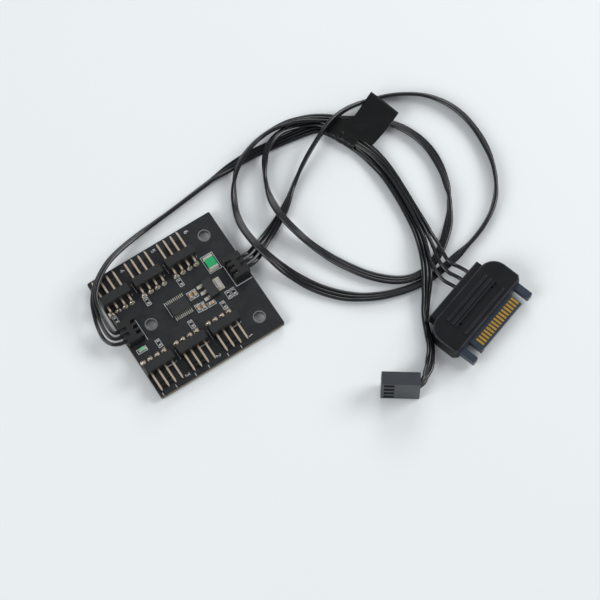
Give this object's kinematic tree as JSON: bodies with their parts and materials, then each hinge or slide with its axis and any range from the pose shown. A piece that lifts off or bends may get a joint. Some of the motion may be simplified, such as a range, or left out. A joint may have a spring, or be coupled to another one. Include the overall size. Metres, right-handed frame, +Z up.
{
  "type": "fan controller hub",
  "caption": "Small black circuit board that shares drive power and one speed signal out to a ring of fan headers, with a hooded drive-power plug and a fan plug on loose leads.",
  "frame": {"origin": "on the table under the middle of the circuit board, at the tips of the pin tails", "axes": "+Z up out of the board's component face, +X along the board from the signal header to the power header, +Y towards the fan headers numbered four to six"},
  "size_m": [0.1416, 0.1062, 0.0106],
  "materials": {
    "board_mask": "black solder mask over glass-epoxy board",
    "header_plastic": "matte moulded black",
    "pin_metal": "bright plated, pale champagne",
    "shell_plastic": "matte moulded black",
    "plug_plastic": "matte moulded black",
    "chip_plastic": "matte moulded black",
    "lead_metal": "tinned, satin",
    "fuse_green": "green, satin",
    "lamp_white": "white",
    "lamp_lens": "clear with a green cast",
    "resistor_black": "black glaze",
    "capacitor_tan": "tan",
    "hood_plastic": "matte moulded black",
    "insert_plastic": "blue-black, satin",
    "contact_gold": "gold plated",
    "fan_plug_plastic": "satin black",
    "label_black": "matte black tape",
    "wire_black": "smooth black insulation"
  },
  "bodies": {
    "root": {"circuit_board": "board_mask", "fan_header_1_housing": "header_plastic", "fan_header_1_pins": "pin_metal", "fan_header_2_housing": "header_plastic", "fan_header_2_pins": "pin_metal", "fan_header_3_housing": "header_plastic", "fan_header_3_pins": "pin_metal", "fan_header_4_housing": "header_plastic", "fan_header_4_pins": "pin_metal", "fan_header_5_housing": "header_plastic", "fan_header_5_pins": "pin_metal", "fan_header_6_housing": "header_plastic", "fan_header_6_pins": "pin_metal", "power_header_shell": "shell_plastic", "power_header_pins": "pin_metal", "power_plug": "plug_plastic", "signal_header_shell": "shell_plastic", "signal_header_pins": "pin_metal", "signal_plug": "plug_plastic", "driver_chip_body": "chip_plastic", "driver_chip_leads": "lead_metal", "regulator_body": "chip_plastic", "regulator_leads": "lead_metal", "fuse_body": "fuse_green", "fuse_terminals": "lead_metal", "lamp_base": "lamp_white", "lamp_terminals": "lead_metal", "lamp_lens": "lamp_lens", "resistor_1": "resistor_black", "resistor_2": "resistor_black", "resistor_3": "resistor_black", "resistor_4": "resistor_black", "resistor_5": "resistor_black", "resistor_6": "resistor_black", "resistor_7": "resistor_black", "resistor_8": "resistor_black", "resistor_terminals": "lead_metal", "capacitor_1": "capacitor_tan", "capacitor_2": "capacitor_tan", "capacitor_3": "capacitor_tan", "capacitor_4": "capacitor_tan", "capacitor_5": "capacitor_tan", "capacitor_terminals": "lead_metal", "drive_plug_hood": "hood_plastic", "drive_plug_insert": "insert_plastic", "drive_plug_contacts": "contact_gold", "fan_plug_housing": "fan_plug_plastic", "fan_plug_contacts": "lead_metal", "cable_label": "label_black", "power_lead": "wire_black", "signal_lead": "wire_black"}
  },
  "joints": []
}
